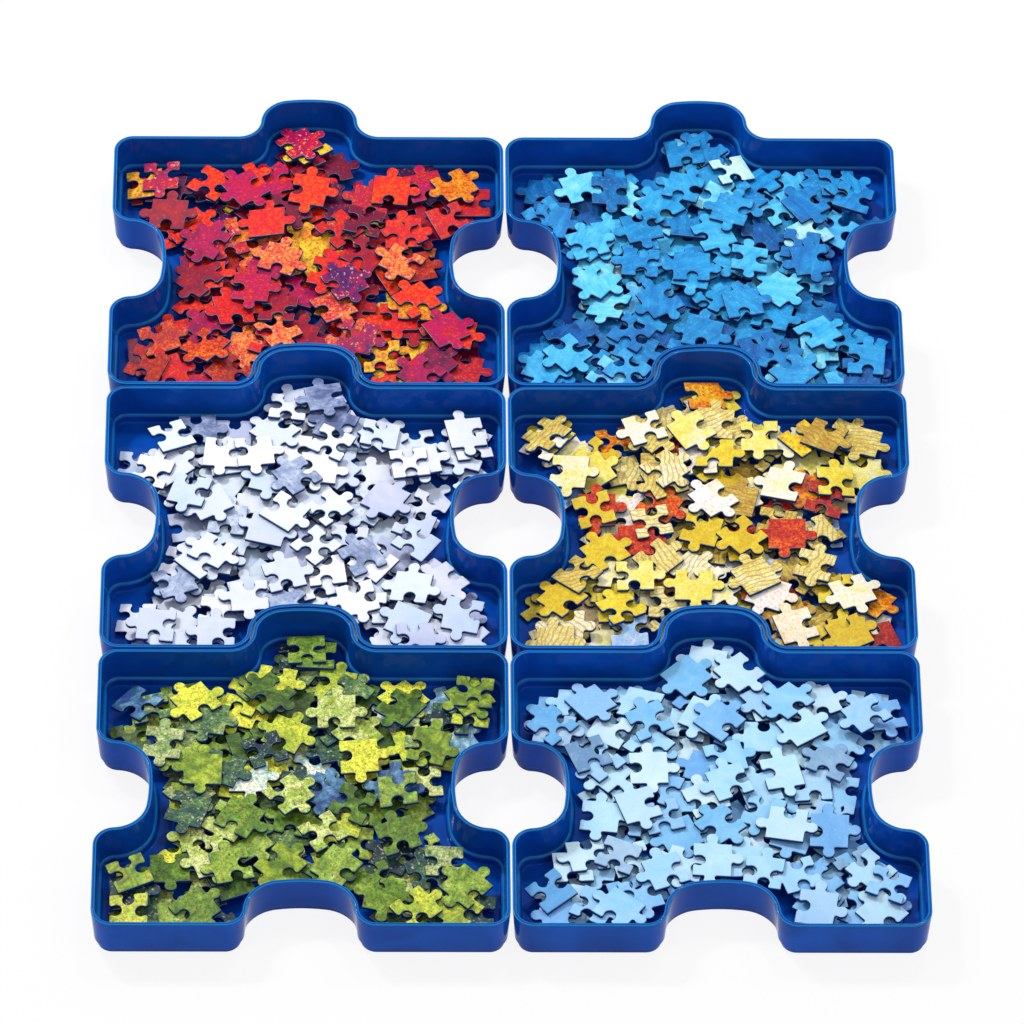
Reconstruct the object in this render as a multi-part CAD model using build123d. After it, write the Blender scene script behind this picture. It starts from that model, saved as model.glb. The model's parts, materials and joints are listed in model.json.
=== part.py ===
"""Jigsaw puzzle storage case: six interlocking sorting trays filled with loose jigsaw pieces.

The trays stand in two columns and three rows. Each one is a single moulding shaped like a jigsaw
piece: a tab on its back edge, and a socket in its front edge and in both sides. The tab of a tray
lies in the socket of the tray behind it. Sizes are in millimetres, +X is right, +Y is back and
+Z is up. The origin is on the table, under the middle of the six trays.
"""
from build123d import *

import itertools
import math
import os

import numpy as np
from scipy.optimize import linprog

# Tray outline at the rim
TRAY_WIDTH = 200.0
TRAY_DEPTH = 170.0
CORNER_RADIUS = 10.0
TAB_REACH = 26.2
TAB_HALF_WIDTH = 24.8
TAB_SHOULDER_RADIUS = 15.5
TAB_CROWN_RADIUS = 80.0
TAB_ROOT_RADIUS = 11.5

# Tray wall, floor and stacking foot
TRAY_HEIGHT = 25.0
RIM_WALL = 1.9
WALL_THICKNESS = 1.8
RIM_ROUNDING = 0.8
FLOOR_THICKNESS = 1.8
WALL_DRAFT = 1.2
FOOT_HEIGHT = 4.0
FOOT_PLAY = 0.6
FOOT_DRAFT = 0.3
FOOT_CHAMFER = 0.5
SHOULDER_RISE = 0.8

# How the trays stand together
ROWS = ("back", "middle", "front")
COLUMNS = ("left", "right")
ROW_GAP = 0.9
COLUMN_GAP = 0.8

# Jigsaw pieces
CELL = 18.4
CARD_THICKNESS = 1.9
KNOB_RADIUS = 2.9
KNOB_REACH = 5.9
KNOB_NECK_RADIUS = 1.0
KNOB_WANDER = 1.3
KNOB_PLAY = 0.15
PIECE_KINDS = 18
FLAT_SIDE_SHARE = 0.2
PIECES_PER_TRAY = 142

# How the pieces lie in a tray
FLOOR_MARGIN = 0.7
RESTING_CLEARANCE = 0.12
EDGE_CLEARANCE = 0.05
HEIGHT_CELL = 0.5
COVER_SPACING = 0.45
PLACES_TRIED = 60
HEAP_LIMIT = 17.2
UNEVENNESS = 0.6
BARE_FLOOR_PULL = 4.0
MAX_SLOPE = 0.18
STEEPEST_SHARE = 0.99
SEED = 20

# Colour groups in each tray, with their shares of its pieces
CONTENTS = {
    "back_left": {"red": 0.40, "crimson": 0.22, "orange": 0.25, "magenta": 0.13},
    "back_right": {"ocean_blue": 0.38, "deep_blue": 0.26, "bright_blue": 0.28, "pale_blue": 0.08},
    "middle_left": {"white": 0.45, "ice_white": 0.32, "lavender_white": 0.17, "grey_white": 0.06},
    "middle_right": {"yellow": 0.45, "gold": 0.25, "orange": 0.14, "cream": 0.16},
    "front_left": {"olive_green": 0.42, "dark_green": 0.26, "yellow_green": 0.20, "slate_green": 0.12},
    "front_right": {"sky_blue": 0.45, "pale_sky": 0.30, "clear_blue": 0.17, "grey_blue": 0.08},
}

# Insets of the tray's surfaces from the rim outline
SHOULDER_INSET = WALL_DRAFT
FOOT_TOP_INSET = RIM_WALL + FOOT_PLAY
FOOT_INSET = FOOT_TOP_INSET + FOOT_DRAFT
INNER_FLOOR_INSET = FOOT_INSET + WALL_THICKNESS
SHOULDER_TOP = FOOT_HEIGHT + SHOULDER_RISE
INNER_SHOULDER_LOW = FLOOR_THICKNESS + FOOT_HEIGHT - SHOULDER_RISE / 2
INNER_SHOULDER_TOP = INNER_SHOULDER_LOW + SHOULDER_RISE

ROW_PITCH = TRAY_DEPTH + ROW_GAP
COLUMN_PITCH = TRAY_WIDTH + COLUMN_GAP


def arc(centre, radius, start, sweep):
    """An arc about a centre, from a start angle, with a signed sweep in degrees."""
    return CenterArc(centre, radius, start, sweep)


class TabShape:
    """Centres and contact angles of the arcs that make a tray's tab, measured from its edge line."""

    shoulder_x = TAB_HALF_WIDTH - TAB_SHOULDER_RADIUS
    crown_y = TAB_REACH - TAB_CROWN_RADIUS
    shoulder_y = crown_y + math.sqrt((TAB_CROWN_RADIUS - TAB_SHOULDER_RADIUS) ** 2 - shoulder_x**2)
    root_x = shoulder_x + math.sqrt(
        (TAB_SHOULDER_RADIUS + TAB_ROOT_RADIUS) ** 2 - (TAB_ROOT_RADIUS - shoulder_y) ** 2
    )
    lean = math.degrees(math.atan2(TAB_ROOT_RADIUS - shoulder_y, root_x - shoulder_x))
    crown_half = math.degrees(math.atan2(shoulder_x, shoulder_y - crown_y))


def tab_edges(inset):
    """Arcs of a tab that bulges to -Y from an edge that runs along +X."""
    root = TAB_ROOT_RADIUS + inset
    shoulder = TAB_SHOULDER_RADIUS - inset
    crown = TAB_CROWN_RADIUS - inset
    lean = TabShape.lean
    half = TabShape.crown_half
    turn = 90 - lean - half
    return [
        arc((-TabShape.root_x, -TAB_ROOT_RADIUS), root, 90, lean - 90),
        arc((-TabShape.shoulder_x, -TabShape.shoulder_y), shoulder, 180 + lean, turn),
        arc((0, -TabShape.crown_y), crown, 270 - half, 2 * half),
        arc((TabShape.shoulder_x, -TabShape.shoulder_y), shoulder, 270 + half, turn),
        arc((TabShape.root_x, -TAB_ROOT_RADIUS), root, 180 - lean, lean - 90),
    ]


def socket_edges(inset):
    """Arcs of a socket cut to +Y into an edge that runs along +X, one row gap clear of a tab."""
    mouth = TAB_ROOT_RADIUS - ROW_GAP - inset
    shoulder = TAB_SHOULDER_RADIUS + ROW_GAP + inset
    crown = TAB_CROWN_RADIUS + ROW_GAP + inset
    mouth_y = TAB_ROOT_RADIUS - ROW_GAP
    shoulder_y = TabShape.shoulder_y - ROW_GAP
    lean = TabShape.lean
    half = TabShape.crown_half
    turn = 90 - lean - half
    return [
        arc((-TabShape.root_x, mouth_y), mouth, 270, 90 - lean),
        arc((-TabShape.shoulder_x, shoulder_y), shoulder, 180 - lean, -turn),
        arc((0, TabShape.crown_y - ROW_GAP), crown, 90 + half, -2 * half),
        arc((TabShape.shoulder_x, shoulder_y), shoulder, 90 - half, -turn),
        arc((TabShape.root_x, mouth_y), mouth, 180 + lean, 90 - lean),
    ]


def joined(edges):
    """A closed face from arcs in order, with a straight line wherever two of them don't meet."""
    chain = []
    for edge, following in zip(edges, edges[1:] + edges[:1]):
        chain.append(edge)
        if ((edge @ 1) - (following @ 0)).length > 1e-4:
            chain.append(Line(edge @ 1, following @ 0))
    return Face(Wire(chain))


def tray_section(inset, height):
    """The tray's outline, drawn in by an inset from the rim outline, at a height."""
    edges = []
    half_width = TRAY_WIDTH / 2
    half_depth = TRAY_DEPTH / 2
    sides = (
        (0, (0, -half_depth), socket_edges(inset), (half_width, -half_depth)),
        (90, (half_width, 0), socket_edges(inset), (half_width, half_depth)),
        (180, (0, half_depth), tab_edges(inset), (-half_width, half_depth)),
        (270, (-half_width, 0), socket_edges(inset), (-half_width, -half_depth)),
    )
    for turn, (x, y), feature, (corner_x, corner_y) in sides:
        place = Location((x, y, 0), (0, 0, turn))
        edges += [edge.moved(place) for edge in feature]
        centre_x = math.copysign(abs(corner_x) - CORNER_RADIUS, corner_x)
        centre_y = math.copysign(abs(corner_y) - CORNER_RADIUS, corner_y)
        edges.append(arc((centre_x, centre_y), CORNER_RADIUS - inset, turn - 90, 90))
    return joined(edges).moved(Location((0, 0, height)))


def banded_solid(levels):
    """A solid with straight bands between the tray's outlines at a list of (height, inset)."""
    sections = [tray_section(inset, height) for height, inset in levels]
    return Solid.make_loft([section.outer_wire() for section in sections], ruled=True)


def tray_solid():
    """One tray: drafted wall, rounded rim, and a foot that drops into the rim of a tray below."""
    outside = banded_solid(
        [
            (0, FOOT_INSET + FOOT_CHAMFER),
            (FOOT_CHAMFER, FOOT_INSET),
            (FOOT_HEIGHT, FOOT_TOP_INSET),
            (SHOULDER_TOP, SHOULDER_INSET),
            (TRAY_HEIGHT, 0),
        ]
    )
    inner_shoulder = SHOULDER_INSET + WALL_THICKNESS
    inside = banded_solid(
        [
            (FLOOR_THICKNESS, INNER_FLOOR_INSET + FOOT_CHAMFER),
            (FLOOR_THICKNESS + FOOT_CHAMFER, INNER_FLOOR_INSET),
            (INNER_SHOULDER_LOW, FOOT_TOP_INSET + WALL_THICKNESS),
            (INNER_SHOULDER_TOP, inner_shoulder),
            (TRAY_HEIGHT, RIM_WALL),
        ]
    )
    tray = outside - inside
    rim_edges = tray.edges().filter_by(lambda edge: abs(edge.center().Z - TRAY_HEIGHT) < 1e-3)
    return fillet(rim_edges, RIM_ROUNDING)


class Side:
    """Kinds of a jigsaw piece's side, as the sign of its knob."""

    FLAT = 0
    TAB = 1
    BLANK = -1


def knob_edges(sign, along):
    """Neck and head arcs of a knob on an edge that runs along +X, with the piece on its left."""
    radius = KNOB_RADIUS + (KNOB_PLAY if sign == Side.BLANK else 0)
    reach = KNOB_REACH + (KNOB_PLAY if sign == Side.BLANK else 0)
    neck = KNOB_NECK_RADIUS
    rise = reach - radius
    half = math.sqrt((radius + neck) ** 2 - (rise - neck) ** 2)
    lean = math.degrees(math.atan2(rise - neck, half))
    side = -sign
    return [
        arc((along - half, side * neck), neck, -side * 90, side * (90 + lean)),
        arc((along, side * rise), radius, 180 + side * lean, -side * (180 + 2 * lean)),
        arc((along + half, side * neck), neck, 180 - side * lean, side * (90 + lean)),
    ]


def jigsaw_outline(signs, offsets):
    """A piece's face: a square cell with a tab, a blank or nothing on each of its four sides."""
    edges = []
    half = CELL / 2
    for turn, sign, offset in zip((0, 90, 180, 270), signs, offsets):
        place = Location((0, 0, 0), (0, 0, turn)) * Location((0, -half, 0))
        start = (place * Location((-half, 0, 0))).position
        end = (place * Location((half, 0, 0))).position
        if sign == Side.FLAT:
            edges.append(Line(start, end))
            continue
        knob = [edge.moved(place) for edge in knob_edges(sign, offset)]
        edges.append(Line(start, knob[0] @ 0))
        edges += knob
        edges.append(Line(knob[-1] @ 1, end))
    return joined(edges)


def inside_polygon(points, outline):
    """Which points lie inside a closed outline, by counting the edges crossed to their right."""
    x = points[:, 0, None]
    y = points[:, 1, None]
    start = outline
    end = np.roll(outline, -1, axis=0)
    straddles = (start[:, 1] > y) != (end[:, 1] > y)
    rise = np.where(end[:, 1] == start[:, 1], 1.0, end[:, 1] - start[:, 1])
    crossing = start[:, 0] + (y - start[:, 1]) * (end[:, 0] - start[:, 0]) / rise
    return (np.count_nonzero(straddles & (x < crossing), axis=1) % 2) == 1


def outline_points(face, spacing):
    """Points around a face's outline, at most a spacing apart, in order."""
    points = []
    for edge in face.outer_wire().order_edges():
        count = max(2, int(edge.length / spacing) + 1)
        points += [tuple(edge @ t)[:2] for t in np.linspace(0, 1, count, endpoint=False)]
    return np.array(points)


def covered_points(outline, spacing, margin):
    """A grid of points inside an outline, and the outline itself grown outwards by a margin."""
    low = outline.min(axis=0)
    high = outline.max(axis=0)
    grid_x, grid_y = np.meshgrid(np.arange(low[0], high[0], spacing), np.arange(low[1], high[1], spacing))
    grid = np.column_stack([grid_x.ravel(), grid_y.ravel()])
    ahead = np.roll(outline, -1, axis=0) - np.roll(outline, 1, axis=0)
    outward = np.column_stack([ahead[:, 1], -ahead[:, 0]])
    outward /= np.maximum(np.linalg.norm(outward, axis=1), 1e-9)[:, None]
    return np.concatenate([grid[inside_polygon(grid, outline)], outline, outline + margin * outward])


def resting_plane(places, heights):
    """Height and slopes of the lowest plane over some points that balances about their middle.

    The plane keeps above every height and is as low as it can be at the origin. It then touches
    at three points with the origin between them, as a piece does that lies at rest.
    """
    slopes = (-MAX_SLOPE, MAX_SLOPE)
    planes = np.column_stack([-np.ones(len(places)), -places])
    answer = linprog((1, 0, 0), A_ub=planes, b_ub=-heights, bounds=((None, None), slopes, slopes))
    return answer.x


class Heap:
    """The pieces of one tray, laid one by one on what is already there."""

    def __init__(self, random):
        """Start with the tray's bare floor as a grid of heights, and a high wall around it."""
        self.random = random
        self.low = np.array([-TRAY_WIDTH / 2 - CELL, -TRAY_DEPTH / 2 - CELL])
        size = np.array([TRAY_WIDTH, TRAY_DEPTH + TAB_REACH]) + 2 * CELL
        self.shape = tuple((size / HEIGHT_CELL).astype(int) + 1)
        floor = outline_points(tray_section(INNER_FLOOR_INSET + FLOOR_MARGIN, 0), HEIGHT_CELL)
        cells_x, cells_y = np.indices(self.shape)
        centres = np.column_stack([cells_x.ravel(), cells_y.ravel()]) * HEIGHT_CELL
        centres += self.low + HEIGHT_CELL / 2
        on_floor = inside_polygon(centres, floor)
        self.heights = np.where(on_floor, FLOOR_THICKNESS, np.inf).reshape(self.shape)
        self.floor = centres[on_floor]

    def cells_under(self, places):
        """Unique grid cells under a list of places, as two index arrays."""
        columns = self.shape[1]
        index = ((places - self.low) / HEIGHT_CELL).astype(int)
        flat = np.unique(index[:, 0] * columns + index[:, 1])
        return flat // columns, flat % columns

    def likely_place(self, footprint):
        """The best of some random places inside the walls: low, and over as much bare floor as can be."""
        best_score = math.inf
        for attempt in itertools.count(1):
            centre = self.floor[self.random.integers(len(self.floor))]
            turn = self.random.uniform(0, 2 * math.pi)
            along = np.array([math.cos(turn), math.sin(turn)])
            places = footprint @ np.array([along, (-along[1], along[0])]) + centre
            index = ((places - self.low) / HEIGHT_CELL).astype(int)
            heights = self.heights[index[:, 0], index[:, 1]]
            bare_share = np.count_nonzero(heights == FLOOR_THICKNESS) / len(heights)
            score = heights.max() - BARE_FLOOR_PULL * bare_share + UNEVENNESS * self.random.uniform()
            if score < best_score:
                best_score = score
                best = (centre, turn, places)
            if attempt >= PLACES_TRIED and best_score < math.inf:
                return best

    def frame_on(self, places, centre, turn):
        """Height, slopes and axes of a piece resting on the cells under some places."""
        cells = self.cells_under(places)
        middles = np.column_stack(cells) * HEIGHT_CELL + self.low + HEIGHT_CELL / 2 - centre
        height, *slopes = resting_plane(middles, self.heights[cells])
        normal = np.array([-slopes[0], -slopes[1], 1.0])
        normal /= np.linalg.norm(normal)
        along = np.array([math.cos(turn), math.sin(turn), 0.0])
        along -= normal * (along @ normal)
        along /= np.linalg.norm(along)
        return np.array(slopes), normal, along

    def lay(self, footprint):
        """Lay a piece, raise the heap under it, and return the plane of its underside."""
        while True:
            centre, turn, places = self.likely_place(footprint)
            slopes, normal, along = self.frame_on(places, centre, turn)
            if np.abs(slopes).max() > STEEPEST_SHARE * MAX_SLOPE:
                continue
            under = footprint @ np.array([along[:2], np.cross(normal, along)[:2]]) + centre
            cells = self.cells_under(np.concatenate([under, under + CARD_THICKNESS * normal[:2]]))
            rises = (np.column_stack(cells) * HEIGHT_CELL + self.low + HEIGHT_CELL / 2 - centre) @ slopes
            play = HEIGHT_CELL / 2 * np.abs(slopes).sum()
            height = (self.heights[cells] - rises).max() + play + RESTING_CLEARANCE
            tops = height + rises + CARD_THICKNESS / normal[2] + play
            if tops.max() < HEAP_LIMIT:
                self.heights[cells] = tops
                return Plane(origin=(*centre, height), x_dir=tuple(along), z_dir=tuple(normal))


def piece_kinds(random):
    """Outlines of the jigsaw pieces, with their solids and the points that they cover."""
    kinds = []
    for _ in range(PIECE_KINDS):
        signs = [int(random.choice((Side.TAB, Side.BLANK))) for _ in range(4)]
        if random.random() < FLAT_SIDE_SHARE:
            signs[0] = Side.FLAT
        offsets = random.uniform(-KNOB_WANDER, KNOB_WANDER, 4)
        face = jigsaw_outline(signs, offsets)
        footprint = covered_points(outline_points(face, HEIGHT_CELL), COVER_SPACING, EDGE_CLEARANCE)
        kinds.append((extrude(face, amount=CARD_THICKNESS), footprint))
    return kinds


def filled_tray(name, shares, kinds, random):
    """A tray's nodes: the moulding, and its loose pieces in groups by colour."""
    heap = Heap(random)
    groups = {colour: [] for colour in shares}
    colours = random.choice(list(shares), PIECES_PER_TRAY, p=list(shares.values()))
    for colour in colours:
        solid, footprint = kinds[random.integers(len(kinds))]
        groups[colour].append(heap.lay(footprint).location * solid)
    print(f"{name}: heap reaches {heap.heights[np.isfinite(heap.heights)].max():.1f} mm")
    return {f"{name}_pieces_{colour}": Compound(solids) for colour, solids in groups.items()}


def storage_case():
    """Every node of the case, by name, in its place."""
    tray = tray_solid()
    kinds = piece_kinds(np.random.default_rng(SEED))
    nodes = {}
    for row, row_name in enumerate(ROWS):
        for column, column_name in enumerate(COLUMNS):
            name = f"{row_name}_{column_name}"
            x = (column - 0.5) * COLUMN_PITCH
            y = (1 - row) * ROW_PITCH - TAB_REACH / 2
            place = Location((x, y, 0))
            nodes[f"{name}_tray"] = place * tray
            random = np.random.default_rng((SEED, row, column))
            for node, pieces in filled_tray(name, CONTENTS[name], kinds, random).items():
                nodes[node] = place * pieces
    return nodes


os.makedirs("parts", exist_ok=True)
for node, shape in storage_case().items():
    shape.label = node
    export_step(shape, f"parts/{node}.step", write_pcurves="tray" in node)
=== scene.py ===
"""Looks of a jigsaw puzzle storage case: six blue sorting trays filled with loose jigsaw pieces.

Every object is in metres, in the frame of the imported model: +X right, +Y back, +Z up, with the
origin on the table under the middle of the six trays. Each tray is rebuilt as a smooth moulding,
and each loose piece as a printed card with rounded die-cut edges, where the model has it.
"""
from __future__ import annotations

import json
import logging
import math
from dataclasses import dataclass
from enum import Enum
from typing import Any, Iterable

import bpy
import numpy as np
from mathutils import Matrix, Vector

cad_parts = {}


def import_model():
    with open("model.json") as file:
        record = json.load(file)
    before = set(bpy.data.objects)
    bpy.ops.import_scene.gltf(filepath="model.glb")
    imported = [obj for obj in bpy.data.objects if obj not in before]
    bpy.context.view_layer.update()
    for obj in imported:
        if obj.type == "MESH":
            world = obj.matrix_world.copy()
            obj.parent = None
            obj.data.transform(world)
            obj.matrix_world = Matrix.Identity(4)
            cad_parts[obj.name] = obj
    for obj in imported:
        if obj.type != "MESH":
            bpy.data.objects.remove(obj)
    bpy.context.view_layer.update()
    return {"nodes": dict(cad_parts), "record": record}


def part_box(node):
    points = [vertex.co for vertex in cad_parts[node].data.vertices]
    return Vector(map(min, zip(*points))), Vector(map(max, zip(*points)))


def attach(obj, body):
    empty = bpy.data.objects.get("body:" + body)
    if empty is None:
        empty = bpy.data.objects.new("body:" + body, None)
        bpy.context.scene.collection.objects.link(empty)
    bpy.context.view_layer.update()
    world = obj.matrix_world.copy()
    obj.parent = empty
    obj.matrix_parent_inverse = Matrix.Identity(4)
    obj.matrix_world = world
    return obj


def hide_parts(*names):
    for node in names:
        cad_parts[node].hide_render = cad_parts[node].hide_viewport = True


LOG = logging.getLogger("sorting_trays")
MM = 0.001
SEED = 71
RIGHT_ANGLE = math.pi / 2
LONG_STRAIGHT = 4
FLAT_ARC = 40 * MM
SAME_POINT = 0.001 * MM
WELD = 0.002 * MM
UPRIGHT = 0.9
SHARP_TURN = 0.9
SHARPEST_MITRE = 0.6
DOUBLINGS = 12
PRINT_REACH = 3.0
CARD_RINGS = np.array([(0.0, 0.0), (0.0, 1.60), (0.07, 1.80), (0.26, 1.90)]) * MM
Colour = tuple[float, float, float]


def srgb(red: int, green: int, blue: int) -> Colour:
    """Turn display values from 0 to 255 into a linear colour.

    Args:
        red: Red, from 0 to 255.
        green: Green, from 0 to 255.
        blue: Blue, from 0 to 255.

    Returns:
        The linear colour.
    """
    shares = np.array([red, green, blue]) / 255
    linear = np.where(shares <= 0.04045, shares / 12.92, ((shares + 0.055) / 1.055) ** 2.4)
    return tuple(float(value) for value in linear)


WHITE: Colour = (1.0, 1.0, 1.0)
# navy of the cut sides: partly the board's own colour, partly painted shade of the gaps between
# cards
BOARD_AND_SHADE_DARK = srgb(16, 42, 96)
BOARD_AND_SHADE_LIGHT = srgb(40, 88, 156)


# Shader nodes


@dataclass
class NodeBoard:
    """The node tree of a material, a world or a group, and short calls that add and link nodes."""

    tree: bpy.types.NodeTree

    def add(
        self, kind: str, inputs: dict[str | int, Any] | None = None, **settings: Any
    ) -> bpy.types.Node:
        """Add a node.

        Args:
            kind: The node's type, without the word ShaderNode.
            inputs: Values or sockets for the node's inputs, by name or number.
            **settings: The node's own properties.

        Returns:
            The new node.
        """
        node = self.tree.nodes.new("ShaderNode" + kind)
        for name, value in settings.items():
            setattr(node, name, value)
        for name, value in (inputs or {}).items():
            self.put(node.inputs[name], value)
        return node

    def put(self, socket: bpy.types.NodeSocket, value: Any) -> None:
        """Link a socket to another one, or give it a plain value."""
        if isinstance(value, bpy.types.NodeSocket):
            self.tree.links.new(value, socket)
        elif socket.type == "RGBA" and len(value) == 3:
            socket.default_value = (*value, 1.0)
        else:
            socket.default_value = value

    def maths(self, operation: str, *values: Any, clamp: bool = False) -> bpy.types.NodeSocket:
        """Add a Math node and return its result."""
        inputs = dict(enumerate(values))
        return self.add("Math", inputs, operation=operation, use_clamp=clamp).outputs[0]

    def blend(self, share: Any, low: Any, high: Any) -> bpy.types.NodeSocket:
        """Mix two colours and return the result.

        Args:
            share: The part of the second colour, from 0 to 1.
            low: The first colour.
            high: The second colour.

        Returns:
            The mixed colour's socket.
        """
        node = self.add("Mix", data_type="RGBA")
        self.put(node.inputs[0], share)
        self.put(node.inputs[6], low)
        self.put(node.inputs[7], high)
        return node.outputs[2]

    def ramp(self, value: Any, stops: Iterable[tuple[float, Colour]]) -> bpy.types.NodeSocket:
        """Add a colour ramp with stops of (place, colour) and return its colour."""
        node = self.add("ValToRGB", {0: value})
        stops = list(stops)
        elements = node.color_ramp.elements
        while len(elements) < len(stops):
            elements.new(0.5)
        for element, (place, colour) in zip(elements, stops):
            element.position = place
            element.color = (*colour, 1.0)
        return node.outputs[0]

    def remap(
        self, value: Any, low: float, high: float, new_low: float, new_high: float
    ) -> bpy.types.NodeSocket:
        """Stretch a value's range from low..high to new_low..new_high, and clamp it."""
        inputs = dict(enumerate((value, low, high, new_low, new_high)))
        return self.add("MapRange", inputs).outputs[0]

    def noise(self, place: Any, scale: Any, **shape: float) -> bpy.types.NodeSocket:
        """Add a noise texture and return its value.

        Args:
            place: Where on the surface it is read, as a vector.
            scale: How many times it repeats in a metre.
            **shape: The texture's detail, roughness and distortion.

        Returns:
            The noise, from 0 to 1 and mostly near 0.5.
        """
        inputs = {name.title(): value for name, value in shape.items()}
        return self.add("TexNoise", {"Vector": place, "Scale": scale, **inputs}).outputs[0]


def node_group(
    name: str, inputs: dict[str, str], outputs: dict[str, str]
) -> tuple[NodeBoard, Any, Any]:
    """Start a shader node group.

    Args:
        name: The group's name.
        inputs: Input names, with the word for each one's socket type.
        outputs: Output names, with the word for each one's socket type.

    Returns:
        The group's board, its input node and its output node.
    """
    tree = bpy.data.node_groups.new(name, "ShaderNodeTree")
    for label, kind in inputs.items():
        tree.interface.new_socket(name=label, in_out="INPUT", socket_type="NodeSocket" + kind)
    for label, kind in outputs.items():
        tree.interface.new_socket(name=label, in_out="OUTPUT", socket_type="NodeSocket" + kind)
    return NodeBoard(tree), tree.nodes.new("NodeGroupInput"), tree.nodes.new("NodeGroupOutput")


def material_board(name: str) -> tuple[bpy.types.Material, NodeBoard, bpy.types.Node]:
    """Start a material and return it with its board and its Principled BSDF."""
    material = bpy.data.materials.new(name)
    material.use_nodes = True
    board = NodeBoard(material.node_tree)
    return material, board, material.node_tree.nodes["Principled BSDF"]


class SharedEffects:
    """Shader node groups that more than one finish uses, each built once."""

    def __init__(self) -> None:
        """Build the groups."""
        self.print_tone = self._print_tone()
        self.navy_board_and_painted_shade = self._navy_board_and_painted_shade()
        self.moulded = self._moulded()

    @staticmethod
    def _print_tone() -> bpy.types.NodeTree:
        """Painted print, different on each card.

        Tone is made of soft clouds and slanted brush strokes, shifted by the card's tint. Mottle
        is a fine grain from -1 to 1. Fleck, Dot and Wave are masks of small motifs, and Height is
        the linen finish pressed into the varnish.
        """
        settings = ("Tint", "Cloud Scale", "Stroke Share", "Contrast", "Spread")
        board, given, made = node_group(
            "print_tone",
            {"Place": "Vector"} | dict.fromkeys(settings, "Float"),
            dict.fromkeys(("Tone", "Mottle", "Fleck", "Dot", "Wave", "Height"), "Float"),
        )
        place = given.outputs["Place"]
        tint = given.outputs["Tint"]
        cloud_scale = given.outputs["Cloud Scale"]
        angle = board.maths("MULTIPLY", tint, 37.0)
        turn = {"Vector": place, "Angle": angle}
        turned = board.add("VectorRotate", turn, rotation_type="Z_AXIS").outputs[0]
        stretched = board.add("Mapping", {"Vector": turned, "Scale": (1.0, 0.17, 1.0)}).outputs[0]
        stroke_scale = board.maths("MULTIPLY", cloud_scale, 3.4)
        clouds = board.noise(turned, cloud_scale, detail=3.0, roughness=0.62, distortion=0.8)
        strokes = board.noise(stretched, stroke_scale, detail=4.0, roughness=0.7, distortion=0.35)
        mixed = board.add("Mix", {0: given.outputs["Stroke Share"], 2: clouds, 3: strokes})
        centred = board.maths("SUBTRACT", mixed.outputs[0], 0.5)
        swing = board.maths("MULTIPLY", centred, given.outputs["Contrast"])
        off_middle = board.maths("SUBTRACT", tint, 0.5)
        shifted = board.maths("MULTIPLY_ADD", off_middle, given.outputs["Spread"], swing)
        grain = board.noise(turned, 620.0, detail=5.0, roughness=0.78, distortion=0.5)
        flecks = board.noise(place, 620.0, detail=2.0, roughness=0.5)
        dots = board.add("TexVoronoi", {"Vector": turned, "Scale": 400.0, "Randomness": 0.6})
        bent = {"Distortion": 7.0, "Detail": 1.5, "Detail Scale": 0.9}
        waves = board.add("TexWave", {"Vector": turned, "Scale": 120.0, **bent})
        threads = [
            board.add("TexWave", {"Vector": place, "Scale": 420.0}, bands_direction=way).outputs[1]
            for way in "XY"
        ]
        results = {
            "Tone": board.maths("ADD", shifted, 0.5, clamp=True),
            "Mottle": board.remap(grain, 0.38, 0.62, -1.0, 1.0),
            "Fleck": board.remap(flecks, 0.60, 0.70, 0.0, 1.0),
            "Dot": board.remap(dots.outputs["Distance"], 0.26, 0.36, 1.0, 0.0),
            "Wave": board.remap(waves.outputs[1], 0.72, 0.9, 0.0, 1.0),
            "Height": board.maths("ADD", *threads),
        }
        for label, result in results.items():
            board.put(made.inputs[label], result)
        return board.tree

    @staticmethod
    def _navy_board_and_painted_shade() -> bpy.types.NodeTree:
        """Cut navy board, dark partly as the board's own colour and partly as painted shade:
        fibres along the cut, a shade lighter and darker.
        """
        board, given, made = node_group(
            "navy_board_and_painted_shade", {"Place": "Vector"}, {"Colour": "Color", "Height": "Float"}
        )
        fibre = board.noise(given.outputs["Place"], 2200.0, detail=3.0, roughness=0.7)
        colour = board.ramp(fibre, [(0.30, BOARD_AND_SHADE_DARK), (0.70, BOARD_AND_SHADE_LIGHT)])
        board.put(made.inputs["Colour"], colour)
        board.put(made.inputs["Height"], fibre)
        return board.tree

    @staticmethod
    def _moulded() -> bpy.types.NodeTree:
        """Moulded gloss: slow flow marks, fine handling scuffs and a faint skin on the surface."""
        board, given, made = node_group(
            "moulded_gloss",
            {"Place": "Vector"},
            {"Flow": "Float", "Scuff": "Float", "Height": "Float"},
        )
        place = given.outputs["Place"]
        scuffs = board.noise(place, 900.0, detail=5.0, roughness=0.75, distortion=2.0)
        board.put(made.inputs["Flow"], board.noise(place, 26.0, detail=3.0, distortion=1.2))
        board.put(made.inputs["Scuff"], board.remap(scuffs, 0.56, 0.72, 0.0, 1.0))
        board.put(made.inputs["Height"], board.noise(place, 170.0, detail=2.0))
        return board.tree


# Finishes


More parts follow.
